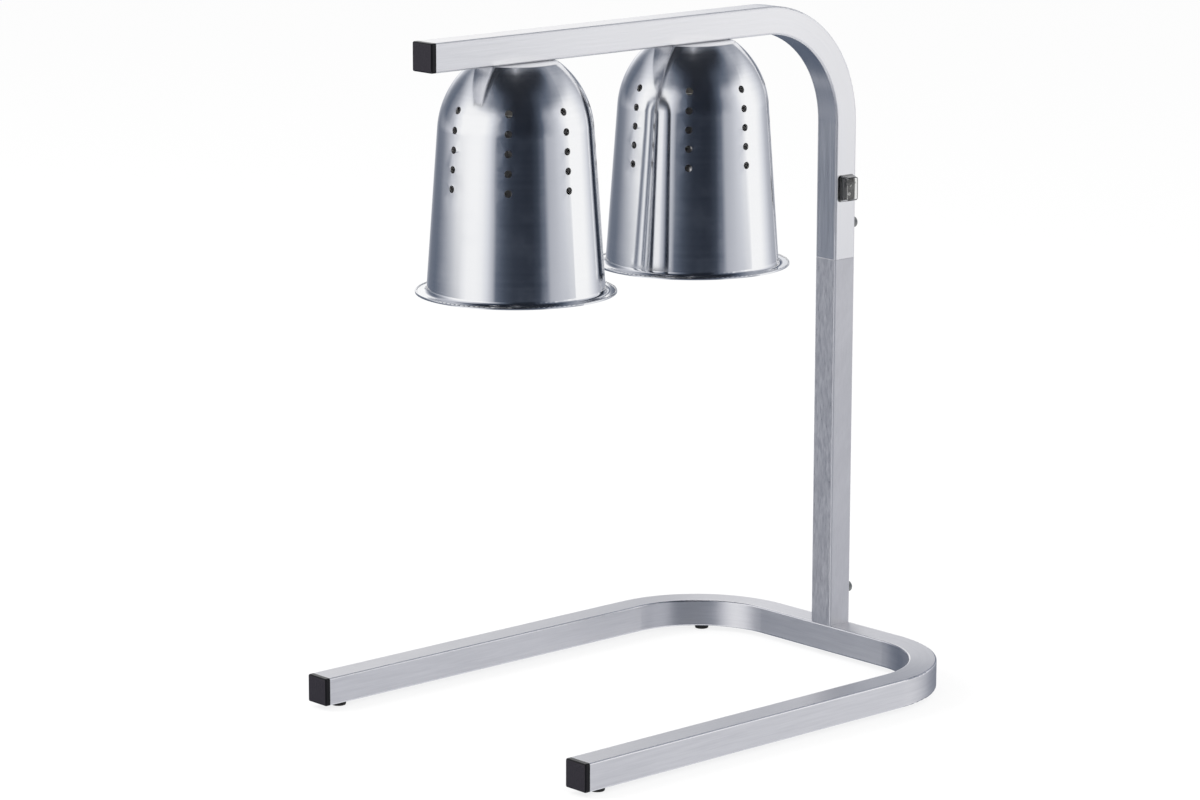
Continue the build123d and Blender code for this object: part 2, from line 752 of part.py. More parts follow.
# Terminal block against the arm's -X wall, and the wires that leave it
block_middle = (block_width / 2 - bore_half, post_y, block_z)
terminal_block = Pos(*block_middle) * Box(block_width, block_depth, block_height)
terminal_block = chamfer(terminal_block.edges().filter_by(Axis.Z), block_edge)
block_screw_reach = tube_wall + block_screw_bite
terminal_block -= rod((-bore_half, post_y, block_z), (block_screw_bite - bore_half, post_y, block_z),
                      block_hole_radius)
nodes["terminal_block"] = terminal_block
nodes["terminal_block_screw"] = headed_screw(
    (-tube_half, post_y, block_z), (1, 0, 0), block_screw_head_diameter / 2, block_screw_head_height,
    block_screw_diameter / 2, block_screw_reach)
wire_x = blade_top - switch_wire_inset
switch_wires = []
for up, across in blade_places:
    blade_face = switch_z + up + blade_thickness / 2
    wire_y = post_y + across
    wire = rod((wire_x, wire_y, block_bottom), (wire_x, wire_y, blade_face), wire_diameter / 2)
    switch_wires.append(wire)
nodes["switch_wires"] = Compound(switch_wires)
for end, (lamp_y, level) in lamps.items():
    pair = []
    for sign in (-1, 1):
        x = sign * wire_spacing / 2
        block_top = block_bottom + block_height
        drop_y = lamp_y + wire_setback
        route = [(x, post_y + level, block_top), (x, post_y + level, arm_axis_z + level),
                 (x, drop_y, arm_axis_z + level), (x, drop_y, roof_z)]
        path = FilletPolyline(*route, radius=[arm_bend + level, wire_turn])
        start = Plane(origin=route[0], z_dir=(0, 0, 1))
        pair.append(sweep(start * Circle(wire_diameter / 2), path))
    nodes["lamp_wires_" + end] = Compound(pair)


# Bushing at the cord inlet
def cord_bushing():
    inner_y = back_y - tube_wall
    mouth_y = back_y + inlet_flange
    tail_y = inner_y - inlet_tail
    flange = rod((0, back_y, inlet_z), (0, mouth_y, inlet_z), inlet_flange_diameter / 2)
    flange = fillet(flange.edges().sort_by(Axis.Y)[-1], inlet_flange_edge)
    body = rod((0, inner_y, inlet_z), (0, back_y, inlet_z), inlet_body_diameter / 2)
    tail = rod((0, tail_y, inlet_z), (0, inner_y, inlet_z), inlet_tail_diameter / 2)
    bore = rod((0, tail_y, inlet_z), (0, mouth_y, inlet_z), inlet_bore_diameter / 2)
    return flange + body + tail - bore


nodes["cord_bushing"] = cord_bushing()

os.makedirs("parts", exist_ok=True)
for name, shape in nodes.items():
    export_step(shape, "parts/" + name + ".step")
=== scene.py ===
import bmesh
import bpy
import math
from mathutils import Matrix, Vector


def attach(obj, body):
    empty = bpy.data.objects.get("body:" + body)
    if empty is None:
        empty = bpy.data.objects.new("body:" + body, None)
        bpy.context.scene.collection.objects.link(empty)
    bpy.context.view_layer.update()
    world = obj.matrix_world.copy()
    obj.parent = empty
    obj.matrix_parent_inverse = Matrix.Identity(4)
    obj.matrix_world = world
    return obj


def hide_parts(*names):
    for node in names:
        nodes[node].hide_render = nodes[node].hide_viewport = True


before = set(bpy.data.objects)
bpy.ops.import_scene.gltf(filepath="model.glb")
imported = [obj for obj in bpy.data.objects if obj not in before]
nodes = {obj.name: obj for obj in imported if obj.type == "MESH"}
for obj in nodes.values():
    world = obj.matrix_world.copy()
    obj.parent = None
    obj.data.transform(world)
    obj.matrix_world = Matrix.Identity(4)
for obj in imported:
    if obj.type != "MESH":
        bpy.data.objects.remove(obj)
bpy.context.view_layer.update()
scene = bpy.context.scene
scene.view_settings.view_transform = "Standard"
print("frame loaded,", len(nodes), "nodes")


# node helpers
def setInputs(tree, node, inputs):
    for key, value in inputs.items():
        if isinstance(value, bpy.types.NodeSocket):
            tree.links.new(value, node.inputs[key])
        else:
            node.inputs[key].default_value = value


def addNode(tree, kind, inputs=None, **settings):
    node = tree.nodes.new(kind)
    for key, value in settings.items():
        setattr(node, key, value)
    setInputs(tree, node, inputs or {})
    return node


def doMath(tree, operation, first, second=0.0):
    return addNode(tree, "ShaderNodeMath", {0: first, 1: second}, operation=operation).outputs[0]


def addShare(tree, value, extra, share):
    return doMath(tree, "ADD", value, doMath(tree, "MULTIPLY", extra, share))


def calm(tree, value, kept):
    swing = doMath(tree, "SUBTRACT", value, 0.5)  # patterns swing about a half
    return doMath(tree, "ADD", doMath(tree, "MULTIPLY", swing, kept), 0.5)


def remap(tree, value, low, high, newLow, newHigh, shape="LINEAR"):
    inputs = {"Value": value, "From Min": low, "From Max": high, "To Min": newLow, "To Max": newHigh}
    return addNode(tree, "ShaderNodeMapRange", inputs, interpolation_type=shape).outputs["Result"]


def mixColour(tree, factor, first, second):
    inputs = {0: factor, 6: first, 7: second}  # the colour sockets of the node
    return addNode(tree, "ShaderNodeMix", inputs, data_type="RGBA").outputs[2]


def vectorMath(tree, operation, first, second=(0.0, 0.0, 0.0)):
    return addNode(tree, "ShaderNodeVectorMath", {0: first, 1: second}, operation=operation).outputs


def stretch(tree, vector, scale):
    return vectorMath(tree, "MULTIPLY", vector, scale)["Vector"]


def splitVector(tree, vector):
    return addNode(tree, "ShaderNodeSeparateXYZ", {0: vector}).outputs


def joinVector(tree, sides):
    return addNode(tree, "ShaderNodeCombineXYZ", sides).outputs[0]


def noise(tree, vector, scale, detail=2.0, roughness=0.5):
    inputs = {"Vector": vector, "Scale": scale, "Detail": detail, "Roughness": roughness}
    return addNode(tree, "ShaderNodeTexNoise", inputs).outputs["Fac"]


def ramp(tree, value, stops):
    node = addNode(tree, "ShaderNodeValToRGB", {"Fac": value})
    band = node.color_ramp
    band.elements.remove(band.elements[1])
    band.elements[0].position = stops[0][0]
    band.elements[0].color = (*stops[0][1], 1.0)
    for position, colour in stops[1:]:
        band.elements.new(position).color = (*colour, 1.0)
    return node.outputs["Color"]


def startGroup(name, inputs, outputs):
    tree = bpy.data.node_groups.new(name, "ShaderNodeTree")
    for label, kind in inputs:
        tree.interface.new_socket(name=label, in_out="INPUT", socket_type="NodeSocket" + kind)
    for label, kind in outputs:
        tree.interface.new_socket(name=label, in_out="OUTPUT", socket_type="NodeSocket" + kind)
    return tree, addNode(tree, "NodeGroupInput").outputs, addNode(tree, "NodeGroupOutput")


def useGroup(tree, group, inputs):
    return addNode(tree, "ShaderNodeGroup", inputs, node_tree=group).outputs


def startMaterial(name):
    material = bpy.data.materials.new(name)
    material.use_nodes = True
    tree = material.node_tree
    place = addNode(tree, "ShaderNodeTexCoord").outputs["Object"]
    return material, tree, tree.nodes["Principled BSDF"], place


def faceNormal(tree):
    return addNode(tree, "ShaderNodeNewGeometry").outputs["Normal"]


def bump(tree, height, strength, distance):
    inputs = {"Height": height, "Strength": strength, "Distance": distance}
    return addNode(tree, "ShaderNodeBump", inputs).outputs["Normal"]


# camera at the photograph's place
photoCamera = {
    "azimuth": 47.695, "elevation": 12.127, "roll": 0.119,
    "aim": (0.0, 0.03235, 0.319), "distance": 3.717059,
    "slide": (-0.066151, -0.049131),  # right and up, metres
    "lens": 126.33, "sensor": 36.0,  # millimetres
}


def placeCamera(look):
    around, above, roll = (math.radians(look[key]) for key in ("azimuth", "elevation", "roll"))
    level = math.cos(above)
    back = Vector((math.sin(around) * level, -math.cos(around) * level, math.sin(above)))
    right = (-back).cross(Vector((0, 0, 1))).normalized()
    turn = Matrix((right, back.cross(right), back)).transposed() @ Matrix.Rotation(roll, 3, "Z")
    camera = bpy.data.objects.new("photoCamera", bpy.data.cameras.new("photoCamera"))
    camera.data.sensor_width = look["sensor"]
    camera.data.lens = look["lens"]
    spot = Vector(look["aim"]) + back * look["distance"]
    spot += turn @ Vector((*look["slide"], 0.0))
    camera.matrix_world = Matrix.Translation(spot) @ turn.to_4x4()
    scene.collection.objects.link(camera)
    scene.camera = camera


placeCamera(photoCamera)

# studio: white all round, with dark gaps between the light panels that only the metal sees
studio = {
    "turn": photoCamera["azimuth"],  # the gaps stand round the camera's side
    # each ring of the sky, from under the floor up: degrees round from the camera, and brightness
    "below": ((-180, 0.14), (-165, 0.12), (-118, 0.12), (-104, 0.60), (-92, 0.88), (140, 0.88), (165, 0.30),
              (180, 0.14)),
    "low": ((-180, 0.14), (-165, 0.12), (-150, 0.11), (-130, 0.10), (-110, 0.13), (-95, 0.27), (-80, 0.42),
            (-66, 0.80), (-45, 0.85), (-30, 0.50), (-20, 0.26), (0, 0.22), (34, 0.24), (40, 0.50),
            (60, 0.52), (80, 0.46), (84, 0.46), (88, 0.60), (95, 0.60), (110, 0.50), (135, 0.24),
            (150, 0.15), (165, 0.20), (174, 0.16), (180, 0.14)),
    "dusk": ((-180, 0.80), (-165, 0.38), (-150, 0.19), (-130, 0.13), (-110, 0.13), (-95, 0.12), (-80, 0.18),
             (-66, 0.80), (-45, 0.88), (-30, 0.46), (-25, 0.14), (0, 0.09), (32, 0.11), (39, 0.50),
             (60, 0.50), (72, 0.30), (80, 0.34), (83, 0.80), (85, 1.08), (88, 1.18), (95, 1.12),
             (110, 0.92), (135, 0.48), (150, 0.40), (165, 0.40), (172, 0.42), (177, 0.55), (180, 0.80)),
    "level": ((-180, 0.90), (-165, 0.44), (-151, 0.21), (-127, 0.36), (-110, 0.66), (-97, 0.84),
              (-85, 1.00), (-74, 1.05), (-54, 1.00), (-45, 0.92), (-37, 0.76), (-29, 0.44), (-25, 0.10),
              (-14, 0.05), (-4, 0.03), (15, 0.018), (23, 0.020), (32, 0.045), (41, 0.125), (47, 0.47),
              (59, 0.57), (69, 0.72), (80, 0.92), (91, 1.05), (104, 1.05), (119, 0.88), (132, 0.60),
              (150, 0.46), (165, 0.42), (172, 0.44), (177, 0.64), (180, 0.90)),
    "raised": ((-180, 1.10), (-165, 1.00), (-155, 0.50), (-145, 0.20), (-129, 0.13), (-113, 0.35),
               (-97, 0.80), (-85, 1.00), (-60, 1.05), (-45, 1.00), (-36, 0.82), (-27, 0.48), (-19, 0.18),
               (-10, 0.06), (0, 0.018), (23, 0.014), (32, 0.035), (41, 0.10), (50, 0.36), (59, 0.52),
               (69, 0.70), (80, 0.95), (95, 1.05), (110, 0.95), (122, 0.80), (145, 0.45), (160, 0.20),
               (169, 0.14), (172.5, 0.22), (175.5, 0.55), (179, 0.98), (180, 1.05)),
    "high": ((-180, 1.08), (-160, 0.78), (-150, 0.45), (-124, 0.60), (-102, 0.72), (-87, 0.75), (-75, 0.75),
             (-63, 0.50), (-45, 0.18), (-20, 0.04), (0, 0.012), (30, 0.018), (45, 0.07), (69, 0.14),
             (79, 0.20), (94, 0.30), (107, 0.40), (122, 0.45), (145, 0.30), (160, 0.15), (169, 0.15),
             (173.5, 0.32), (179, 0.95), (180, 1.0)),
    "overhead": ((-180, 0.75), (-155, 0.60), (-135, 0.10), (-120, 0.012), (120, 0.012), (135, 0.10),
                 (155, 0.60), (180, 0.75)),
    # heights between which one ring gives way to the next
    "steps": ((-0.74, -0.54), (-0.23, -0.16), (-0.12, -0.05), (-0.03, 0.09), (0.40, 0.62), (0.68, 0.90)),
    # the dark gaps are bluish
    "tint": ((0.0, (0.0, 0.0, 0.0)), (0.02, (0.016, 0.021, 0.033)), (0.12, (0.105, 0.128, 0.175)),
             (0.5, (0.475, 0.49, 0.54)), (0.75, (0.73, 0.745, 0.79)), (1.0, (1.0, 1.0, 1.0))),
    "matte": 0.85,  # even light that matte surfaces get
}


def buildStudio(look):
    world = bpy.data.worlds.new("studio")
    scene.world = world
    world.use_nodes = True
    tree = world.node_tree
    way = addNode(tree, "ShaderNodeTexCoord").outputs["Generated"]
    inputs = {"Vector": way, "Angle": -math.radians(look["turn"])}
    turned = addNode(tree, "ShaderNodeVectorRotate", inputs, rotation_type="Z_AXIS").outputs[0]
    x, y, z = splitVector(tree, turned)
    angle = doMath(tree, "ARCTAN2", x, doMath(tree, "MULTIPLY", y, -1.0))
    share = remap(tree, angle, -math.pi, math.pi, 0.0, 1.0)
    rings = []
    for key in ("below", "low", "dusk", "level", "raised", "high", "overhead"):
        stops = [(degrees / 360 + 0.5, (value,) * 3) for degrees, value in look[key]]
        rings.append(ramp(tree, share, stops))
    shade = rings[0]
    for ring, (below, above) in zip(rings[1:], look["steps"]):  # from ring to ring, by height
        shade = mixColour(tree, remap(tree, z, below, above, 0.0, 1.0, "SMOOTHSTEP"), shade, ring)
    seen = ramp(tree, shade, look["tint"])
    path = addNode(tree, "ShaderNodeLightPath").outputs
    even = (*(look["matte"],) * 3, 1.0)
    white = (1.0, 1.0, 1.0, 1.0)
    light = mixColour(tree, path["Is Glossy Ray"], even, seen)
    light = mixColour(tree, path["Is Transmission Ray"], light, white)
    light = mixColour(tree, path["Is Camera Ray"], light, white)
    setInputs(tree, tree.nodes["Background"], {"Color": light, "Strength": 1.0})


lamps = {
    "key": {"at": (-1.6, -2.2, 2.6), "size": 1.8, "watts": 60.0},
    "fill": {"at": (2.4, -0.6, 1.8), "size": 1.8, "watts": 30.0},
}
lampAim = Vector((0.0, 0.0, 0.3))  # half way up the object


def hangLamps(look):
    for name, values in look.items():
        lamp = bpy.data.objects.new(name, bpy.data.lights.new(name, "AREA"))
        lamp.data.size = values["size"]
        lamp.data.energy = values["watts"]
        spot = Vector(values["at"])
        lamp.location = spot
        lamp.rotation_euler = (lampAim - spot).to_track_quat("-Z", "Y").to_euler()
        lamp.visible_glossy = False  # the metal mirrors the studio only
        scene.collection.objects.link(lamp)


floorLook = {
    "radius": 9.0, "segments": 96, "fineness": 400.0, "roughness": 0.9,
    "light": (0.90, 0.90, 0.90, 1.0), "dark": (0.88, 0.88, 0.88, 1.0),
    "lift": 0.75, "white": 1.04,  # share and strength of the white that the camera sees
}


def layFloor(look):
    bm = bmesh.new()
    bmesh.ops.create_circle(bm, cap_ends=True, segments=look["segments"], radius=look["radius"])
    mesh = bpy.data.meshes.new("floor")
    bm.to_mesh(mesh)
    bm.free()
    material, tree, shader, place = startMaterial("paper_floor")
    tint = mixColour(tree, noise(tree, place, look["fineness"]), look["light"], look["dark"])
    setInputs(tree, shader, {"Base Color": tint, "Roughness": look["roughness"], "Specular IOR Level": 0.0})
    glow = addNode(tree, "ShaderNodeEmission", {"Color": (1, 1, 1, 1), "Strength": look["white"]})
    path = addNode(tree, "ShaderNodeLightPath").outputs
    seen = doMath(tree, "MAXIMUM", path["Is Camera Ray"], path["Is Transmission Ray"])
    part = doMath(tree, "MULTIPLY", seen, look["lift"])
    lit = addNode(tree, "ShaderNodeMixShader", {0: part, 1: shader.outputs[0], 2: glow.outputs[0]})
    clear = addNode(tree, "ShaderNodeBsdfTransparent")
    under = addNode(tree, "ShaderNodeNewGeometry").outputs["Backfacing"]  # from below the floor isn't there
    ground = addNode(tree, "ShaderNodeMixShader", {0: under, 1: lit.outputs[0], 2: clear.outputs[0]})
    tree.links.new(ground.outputs[0], tree.nodes["Material Output"].inputs["Surface"])
    mesh.materials.append(material)
    floor = bpy.data.objects.new("floor", mesh)
    floor.visible_glossy = False
    scene.collection.objects.link(floor)


buildStudio(studio)
hangLamps(lamps)
layFloor(floorLook)
print("camera, studio and floor set")

# shared effects
grainShape = {  # stretch of the noise across the tube, over its width and along it
    "broad": (0.3, 0.3, 0.016), "fine": (1.0, 1.0, 0.03), "cloud": (0.02, 0.02, 0.008),
    "broadShare": 0.6, "fineShare": 0.4, "spread": (0.3, 0.7),
    "corner": (-0.0022, -0.0008),  # the strip at a corner that gets a painted highlight and a wear roughness, metres in from the sides
}


def brushedGrainGroup(shape):
    inputs = (("Place", "Vector"), ("Bend Centre", "Vector"), ("Bend Radius", "Float"),
              ("Half Side", "Float"), ("Fineness", "Float"), ("Run", "Float"))
    outputs = (("Streak", "Float"), ("Cloud", "Float"), ("Corner", "Float"))
    tree, given, out = startGroup("brushed_grain", inputs, outputs)
    fineness = given["Fineness"]
    fromCentre = vectorMath(tree, "SUBTRACT", given["Place"], given["Bend Centre"])["Vector"]
    u, v, w = splitVector(tree, fromCentre)
    bend = joinVector(tree, {0: doMath(tree, "MAXIMUM", u), 1: doMath(tree, "MAXIMUM", v)})
    across = vectorMath(tree, "LENGTH", bend)["Value"]
    along = doMath(tree, "SUBTRACT", v, u)  # runs with the tube, round the bend too
    along = doMath(tree, "MULTIPLY", along, given["Run"])
    path = joinVector(tree, {0: across, 1: w, 2: along})
    broad = noise(tree, stretch(tree, path, shape["broad"]), fineness, detail=3.0, roughness=0.6)
    fine = noise(tree, stretch(tree, path, shape["fine"]), fineness, detail=2.0, roughness=0.6)
    streak = addShare(tree, doMath(tree, "MULTIPLY", broad, shape["broadShare"]), fine, shape["fineShare"])
    cloud = noise(tree, stretch(tree, path, shape["cloud"]), fineness)
    off = doMath(tree, "ABSOLUTE", doMath(tree, "SUBTRACT", across, given["Bend Radius"]))
    edge = doMath(tree, "MINIMUM", off, doMath(tree, "ABSOLUTE", w))
    edge = doMath(tree, "SUBTRACT", edge, given["Half Side"])
    setInputs(tree, out, {
        "Streak": remap(tree, streak, *shape["spread"], 0.0, 1.0), "Cloud": cloud,
        "Corner": remap(tree, edge, *shape["corner"], 0.0, 1.0, "SMOOTHSTEP"),
    })
    return tree


spinShape = {
    "lines": ((1.0, 2.0), (0.12, 3.0)),  # scale and detail of the fine lines, then of the broad bands
    "smudge": 38.0,
}


def spinLinesGroup(shape):
    tree, given, out = startGroup("spin_lines", (("Place", "Vector"), ("Fineness", "Float")),
                                  (("Line", "Float"), ("Band", "Float"), ("Smudge", "Float")))
    x, y, z = splitVector(tree, given["Place"])
    radius = vectorMath(tree, "LENGTH", joinVector(tree, {0: x, 1: y}))["Value"]
    run = doMath(tree, "SUBTRACT", z, radius)  # grows along the profile from rim to top
    lines = []
    for scale, detail in shape["lines"]:
        inputs = {"W": doMath(tree, "MULTIPLY", run, given["Fineness"]), "Scale": scale, "Detail": detail}
        lines.append(addNode(tree, "ShaderNodeTexNoise", inputs, noise_dimensions="1D").outputs["Fac"])
    smudge = noise(tree, given["Place"], shape["smudge"], detail=4.0, roughness=0.6)
    setInputs(tree, out, {"Line": lines[0], "Band": lines[1], "Smudge": smudge})
    return tree


cloudSize = 0.03  # the clouds' fineness as a share of the grain's


def mouldGrainGroup():
    tree, given, out = startGroup("mould_grain", (("Place", "Vector"), ("Fineness", "Float")),
                                  (("Grain", "Float"), ("Cloud", "Float")))
    grain = noise(tree, given["Place"], given["Fineness"], detail=3.0, roughness=0.6)
    coarse = doMath(tree, "MULTIPLY", given["Fineness"], cloudSize)
    cloud = noise(tree, given["Place"], coarse, detail=3.0)
    setInputs(tree, out, {"Grain": grain, "Cloud": cloud})
    return tree


brushedGrain = brushedGrainGroup(grainShape)
spinLines = spinLinesGroup(spinShape)
mouldGrain = mouldGrainGroup()
print("grain, spin and mould effects built")

# materials
acrossStrokes = 0.25  # turn of the shader's highlight, so that it spreads across the strokes
grainSpread = (0.3, 0.7)  # where most values of a noise lie
tubeBrush = {"halfSide": 0.0125, "streakShare": 0.7, "cloudShare": 0.3, "depth": 0.0004}
tubeFinishes = {  # the base, the arm and the lower post were brushed in turn
    "base_tube": {"light": (0.92, 0.915, 0.935, 1.0), "dark": (0.76, 0.755, 0.775, 1.0), "fineness": 1100.0,
                  "roughness": (0.30, 0.42), "corner": -0.12, "bump": 0.05, "anisotropic": 0.75,
                  "run": 1.0, "sides": 1.0},
    "arm_tube": {"light": (0.97, 0.967, 0.98, 1.0), "dark": (0.84, 0.837, 0.853, 1.0), "fineness": 1000.0,
                 "roughness": (0.19, 0.27), "corner": 0.28, "bump": 0.05, "anisotropic": 0.5,
                 "run": 1.0, "sides": 1.0},
    "post_tube": {"light": (0.97, 0.965, 0.985, 1.0), "dark": (0.56, 0.555, 0.58, 1.0), "fineness": 1500.0,
                  "roughness": (0.26, 0.46), "corner": 0.18, "bump": 0.10, "anisotropic": 0.5,
                  "run": 4.0, "sides": 0.25},  # short strokes, and the sides smoother
}


def brushedTube(name, axes, bendCentre, bendRadius, look):
    material, tree, shader, place = startMaterial(name)
    x, y, z = splitVector(tree, place)
    sides = {"x": x, "y": y, "z": z, "width": doMath(tree, "ABSOLUTE", x)}
    turned = joinVector(tree, {i: sides[axis] for i, axis in enumerate(axes)})
    u = doMath(tree, "MAXIMUM", doMath(tree, "SUBTRACT", sides[axes[0]], bendCentre[0]))
    v = doMath(tree, "MAXIMUM", doMath(tree, "SUBTRACT", sides[axes[1]], bendCentre[1]))
    if axes[0] == "width":
        side = doMath(tree, "MULTIPLY", doMath(tree, "SIGN", x), -1.0)
        tangent = {0: doMath(tree, "MULTIPLY", v, side), 1: u}
    else:
        tangent = {1: doMath(tree, "MULTIPLY", v, -1.0), 2: u}
    grain = useGroup(tree, brushedGrain, {
        "Place": turned, "Bend Centre": bendCentre, "Bend Radius": bendRadius,
        "Half Side": tubeBrush["halfSide"], "Fineness": look["fineness"], "Run": look["run"],
    })
    sideways = doMath(tree, "ABSOLUTE", splitVector(tree, faceNormal(tree))["X"])
    streak = calm(tree, grain["Streak"], remap(tree, sideways, 0.0, 1.0, 1.0, look["sides"]))
    tone = doMath(tree, "MULTIPLY", streak, tubeBrush["streakShare"])
    tone = addShare(tree, tone, grain["Cloud"], tubeBrush["cloudShare"])
    tone = doMath(tree, "MAXIMUM", tone, grain["Corner"])  # painted highlight: the corners are drawn light in the base colour
    rough = remap(tree, streak, 0.0, 1.0, *look["roughness"])
    rough = addShare(tree, rough, grain["Corner"], look["corner"])
    setInputs(tree, shader, {
        "Base Color": mixColour(tree, tone, look["dark"], look["light"]),
        "Metallic": 1.0,
        "Roughness": rough,
        "Normal": bump(tree, streak, look["bump"], tubeBrush["depth"]),
        "Anisotropic": look["anisotropic"],
        "Anisotropic Rotation": acrossStrokes,
        "Tangent": joinVector(tree, tangent),  # the way the tube was brushed
    })
    return material


shadeFinish = {
    "light": (0.95, 0.955, 0.965, 1.0), "dark": (0.86, 0.865, 0.88, 1.0),
    "fineness": 1900.0, "roughness": (0.10, 0.115), "bump": 0.05, "depth": 0.0004,
    "lineShare": 0.5, "bandShare": 0.5,
    "dome": (-0.06, -0.005), "topRoughness": 0.08,  # the spinner's tool left the dome coarser
    "wall": 0.21,  # share of the spin lines that the planished wall keeps
    "smudge": (0.5, 0.8), "smudgeRoughness": 0.05,
    "inside": (0.93, 0.93, 0.94, 1.0), "satin": 0.35, "insideMetal": 0.0,  # etched matt
    "inwards": (-0.002, -0.008),  # how far inwards a face of the inside looks
    "anisotropic": 0.8,
}


def spunShade(name, centre, top, look):
    material, tree, shader, place = startMaterial(name)
    inputs = {"Vector": place, "Location": (-centre[0], -centre[1], -top)}
    place = addNode(tree, "ShaderNodeMapping", inputs).outputs[0]
    spin = useGroup(tree, spinLines, {"Place": place, "Fineness": look["fineness"]})
    height = splitVector(tree, place)["Z"]
    nearTop = remap(tree, height, *look["dome"], 0.0, 1.0, "SMOOTHSTEP")
    tone = doMath(tree, "MULTIPLY", spin["Line"], look["lineShare"])
    tone = addShare(tree, tone, spin["Band"], look["bandShare"])
    tone = calm(tree, tone, remap(tree, nearTop, 0.0, 1.0, look["wall"], 1.0))
    rough = remap(tree, spin["Band"], *grainSpread, *look["roughness"])
    rough = addShare(tree, rough, nearTop, look["topRoughness"])
    smudge = remap(tree, spin["Smudge"], *look["smudge"], 0.0, look["smudgeRoughness"])
    rough = doMath(tree, "ADD", rough, smudge)
    outwards = stretch(tree, place, (1.0, 1.0, 0.0))
    facing = vectorMath(tree, "DOT_PRODUCT", outwards, faceNormal(tree))["Value"]
    inside = remap(tree, facing, *look["inwards"], 0.0, 1.0)
    shell = mixColour(tree, remap(tree, tone, *grainSpread, 0.0, 1.0), look["dark"], look["light"])
    setInputs(tree, shader, {
        "Base Color": mixColour(tree, inside, shell, look["inside"]),
        "Metallic": remap(tree, inside, 0.0, 1.0, 1.0, look["insideMetal"]),
        "Roughness": remap(tree, inside, 0.0, 1.0, rough, look["satin"]),
        "Normal": bump(tree, tone, look["bump"], look["depth"]),
        "Anisotropic": look["anisotropic"],
        "Anisotropic Rotation": acrossStrokes,
        "Tangent": addNode(tree, "ShaderNodeTangent", direction_type="RADIAL", axis="Z").outputs[0],
    })
    return material


plasticDepth = 0.0002
metalDepth = 0.0001
endOn = (0.90, 0.98)  # how squarely a cap's face looks out of its tube


def mouldedPlastic(name, look):
    material, tree, shader, place = startMaterial(name)
    mould = useGroup(tree, mouldGrain, {"Place": place, "Fineness": look["fineness"]})
    tone = mixColour(tree, mould["Cloud"], look["dark"], look["light"])
    if "face" in look:  # the outer face is drawn in a lighter tone than the sides
        ends = doMath(tree, "ABSOLUTE", splitVector(tree, faceNormal(tree))["Y"])
        tone = mixColour(tree, remap(tree, ends, *endOn, 0.0, 1.0), tone, look["face"])
    setInputs(tree, shader, {
        "Base Color": tone,
        "Roughness": remap(tree, mould["Grain"], *grainSpread, *look["roughness"]),
        "Specular IOR Level": look.get("specular", 0.5),
        "Normal": bump(tree, mould["Grain"], look["bump"], plasticDepth),
    })
    return material


def castMetal(name, look):
    material, tree, shader, place = startMaterial(name)
    mould = useGroup(tree, mouldGrain, {"Place": place, "Fineness": look["fineness"]})
    setInputs(tree, shader, {
        "Base Color": mixColour(tree, mould["Cloud"], look["dark"], look["light"]),
        "Metallic": 1.0,
        "Roughness": remap(tree, mould["Grain"], *grainSpread, *look["roughness"]),
        "Normal": bump(tree, mould["Grain"], look["bump"], metalDepth),
    })
    return material


plasticLooks = {
    "cap_plastic": {"light": (0.006, 0.0055, 0.007, 1), "dark": (0.003, 0.003, 0.004, 1), "specular": 0.25,
                    "face": (0.024, 0.0215, 0.027, 1),
                    "fineness": 2600.0, "roughness": (0.22, 0.32), "bump": 0.12},
    "foot_rubber": {"light": (0.022, 0.021, 0.021, 1), "dark": (0.012, 0.012, 0.012, 1),
                    "fineness": 1800.0, "roughness": (0.70, 0.90), "bump": 0.35},
    "switch_plastic": {"light": (0.020, 0.020, 0.022, 1), "dark": (0.011, 0.011, 0.013, 1),
                       "fineness": 3000.0, "roughness": (0.26, 0.40), "bump": 0.10},
    "glazed_ceramic": {"light": (0.84, 0.82, 0.77, 1), "dark": (0.76, 0.73, 0.67, 1),
                       "fineness": 900.0, "roughness": (0.14, 0.30), "bump": 0.12},
    "block_nylon": {"light": (0.82, 0.80, 0.74, 1), "dark": (0.74, 0.72, 0.66, 1),
                    "fineness": 1500.0, "roughness": (0.40, 0.55), "bump": 0.15},
    "wire_braid": {"light": (0.80, 0.76, 0.66, 1), "dark": (0.62, 0.57, 0.48, 1),
                   "fineness": 2400.0, "roughness": (0.60, 0.85), "bump": 0.60},
    "mark_paint": {"light": (0.86, 0.86, 0.85, 1), "dark": (0.78, 0.78, 0.77, 1),
                   "fineness": 2200.0, "roughness": (0.45, 0.60), "bump": 0.10},
    "tip_glass": {"light": (0.030, 0.024, 0.036, 1), "dark": (0.016, 0.013, 0.022, 1),
                  "fineness": 900.0, "roughness": (0.08, 0.20), "bump": 0.05},
}
